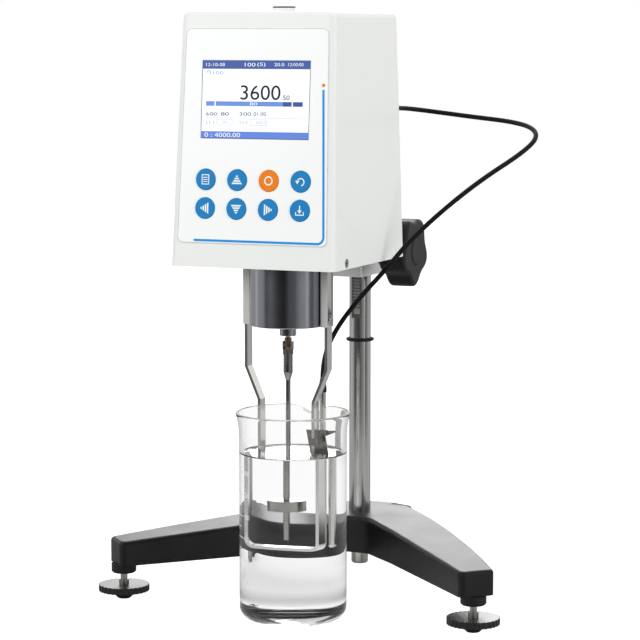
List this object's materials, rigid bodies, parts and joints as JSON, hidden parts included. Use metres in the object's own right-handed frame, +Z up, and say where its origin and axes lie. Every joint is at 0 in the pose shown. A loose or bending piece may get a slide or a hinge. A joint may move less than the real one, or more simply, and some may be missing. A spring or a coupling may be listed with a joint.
{
  "type": "rotational viscometer",
  "caption": "Rotational viscometer on a rack-and-pinion stand, with keypad and display, guarded spindle, temperature probe on a cord, levelling feet and a glass beaker.",
  "frame": {"origin": "on the bench, at the centre of the footprint of the whole object without its cord", "axes": "+X to the right of somebody facing the display, +Y to the rear, +Z up"},
  "size_m": [0.2864, 0.2738, 0.3997],
  "materials": {
    "black_enamel": "satin black enamel",
    "column_chrome": "polished",
    "rack_steel": "machined",
    "zinc_steel": "zinc plated",
    "black_rubber": "matt",
    "black_plastic": "satin",
    "block_aluminium": "fine blasted",
    "head_paint": "smooth warm white",
    "overlay_film": "satin printed film",
    "display": "clear hard pane over a lit screen",
    "module_black": "matt",
    "circuit_board": "solder mask",
    "spring_bronze": "bright",
    "shroud_steel": "turned",
    "guard_steel": "brushed",
    "bronze": "turned bronze",
    "cord_black": "matt jacket",
    "level_ring": "black ring",
    "level_vial": "tinted spirit",
    "disc_black": "satin black, with a rubber dome",
    "key_blue": "printed blue",
    "key_orange": "printed orange",
    "beaker_glass": "clear laboratory glass"
  },
  "bodies": {
    "stand": {"base_casting": "black_enamel", "column": "column_chrome", "rack": "rack_steel", "column_nut": "zinc_steel", "stop_ring": "black_rubber", "foot_collars": "black_plastic"},
    "head": {"slide_block": "block_aluminium", "block_screws": "zinc_steel", "head_cover": "head_paint", "base_plate": "head_paint", "cover_screws": "zinc_steel", "panel_overlay": "overlay_film", "display_lens": "display", "display_module": "module_black", "keypad_board": "circuit_board", "main_board": "circuit_board", "motor_bracket": "zinc_steel", "motor": "module_black", "shaft_bearing": "rack_steel", "shroud": "shroud_steel", "pivot_hub": "shroud_steel", "guard_strip": "guard_steel", "guard_holders": "guard_steel", "guard_screws": "shroud_steel", "probe_tube": "guard_steel", "probe_clip": "guard_steel", "probe_relief": "black_rubber", "probe_cord": "cord_black", "probe_socket": "zinc_steel", "probe_plug": "black_plastic", "level_body": "level_ring", "level_vial": "level_vial", "power_module": "black_plastic"},
    "knob": {"pinion_shaft": "rack_steel", "lift_knob": "black_plastic", "knob_cap": "black_plastic"},
    "motor_rotor": {"motor_spindle": "rack_steel", "torsion_spring": "spring_bronze"},
    "spindle_train": {"encoder_disc": "block_aluminium", "drive_shaft": "rack_steel", "coupling": "bronze", "coupling_nut": "shroud_steel", "spindle": "guard_steel"},
    "power_rocker": {"switch_rocker": "black_plastic"},
    "beaker_glass": {"beaker": "beaker_glass"},
    "foot_left": {"foot_screw_left": "zinc_steel", "foot_disc_left": "disc_black"},
    "foot_right": {"foot_screw_right": "zinc_steel", "foot_disc_right": "disc_black"},
    "foot_rear": {"foot_screw_rear": "zinc_steel", "foot_disc_rear": "disc_black"},
    "key_left_body": {"key_left": "key_blue"},
    "key_down_body": {"key_down": "key_blue"},
    "key_right_body": {"key_right": "key_blue"},
    "key_save_body": {"key_save": "key_blue"},
    "key_print_body": {"key_print": "key_blue"},
    "key_up_body": {"key_up": "key_blue"},
    "key_ok_body": {"key_ok": "key_orange"},
    "key_back_body": {"key_back": "key_blue"}
  },
  "joints": [
    {"name": "head_lift", "type": "slide", "parent": "stand", "child": "head", "axis": [0, 0, 1], "range_m": [-0.025, 0.12]},
    {"name": "lift_knob_turn", "type": "hinge", "parent": "head", "child": "knob", "pos_m": [0, 0.037, 0.2345], "axis": [1, 0, 0], "range_deg": [-1404, 293]},
    {"name": "motor_turn", "type": "hinge", "parent": "head", "child": "motor_rotor", "pos_m": [0, -0.0781, 0.277], "axis": [0, 0, 1], "continuous": true},
    {"name": "spindle_lag", "type": "hinge", "parent": "motor_rotor", "child": "spindle_train", "pos_m": [0, -0.0781, 0.2], "axis": [0, 0, 1], "range_deg": [-85, 0], "stiffness_Nm_per_rad": 0.000045},
    {"name": "power_switch", "type": "hinge", "parent": "head", "child": "power_rocker", "pos_m": [-0.038, -0.01255, 0.286], "axis": [1, 0, 0], "range_deg": [0, 9]},
    {"name": "beaker_lift", "type": "slide", "parent": "stand", "child": "beaker_glass", "axis": [0, 0, 1], "range_m": [0, 0.01]},
    {"name": "foot_left_height", "type": "slide", "parent": "stand", "child": "foot_left", "axis": [0, 0, 1], "range_m": [-0.004, 0.004]},
    {"name": "foot_right_height", "type": "slide", "parent": "stand", "child": "foot_right", "axis": [0, 0, 1], "range_m": [-0.004, 0.004]},
    {"name": "foot_rear_height", "type": "slide", "parent": "stand", "child": "foot_rear", "axis": [0, 0, 1], "range_m": [-0.004, 0.004]},
    {"name": "key_left_press", "type": "slide", "parent": "head", "child": "key_left_body", "axis": [0, 0.9971, -0.0757], "range_m": [0, 0.0004], "stiffness_N_per_m": 1500, "springref_m": -0.0004},
    {"name": "key_down_press", "type": "slide", "parent": "head", "child": "key_down_body", "axis": [0, 0.9971, -0.0757], "range_m": [0, 0.0004], "stiffness_N_per_m": 1500, "springref_m": -0.0004},
    {"name": "key_right_press", "type": "slide", "parent": "head", "child": "key_right_body", "axis": [0, 0.9971, -0.0757], "range_m": [0, 0.0004], "stiffness_N_per_m": 1500, "springref_m": -0.0004},
    {"name": "key_save_press", "type": "slide", "parent": "head", "child": "key_save_body", "axis": [0, 0.9971, -0.0757], "range_m": [0, 0.0004], "stiffness_N_per_m": 1500, "springref_m": -0.0004},
    {"name": "key_print_press", "type": "slide", "parent": "head", "child": "key_print_body", "axis": [0, 0.9971, -0.0757], "range_m": [0, 0.0004], "stiffness_N_per_m": 1500, "springref_m": -0.0004},
    {"name": "key_up_press", "type": "slide", "parent": "head", "child": "key_up_body", "axis": [0, 0.9971, -0.0757], "range_m": [0, 0.0004], "stiffness_N_per_m": 1500, "springref_m": -0.0004},
    {"name": "key_ok_press", "type": "slide", "parent": "head", "child": "key_ok_body", "axis": [0, 0.9971, -0.0757], "range_m": [0, 0.0004], "stiffness_N_per_m": 1500, "springref_m": -0.0004},
    {"name": "key_back_press", "type": "slide", "parent": "head", "child": "key_back_body", "axis": [0, 0.9971, -0.0757], "range_m": [0, 0.0004], "stiffness_N_per_m": 1500, "springref_m": -0.0004}
  ],
  "couplings": [
    {"joint": "lift_knob_turn", "follows": "head_lift", "rad_per_m": -204.08}
  ]
}
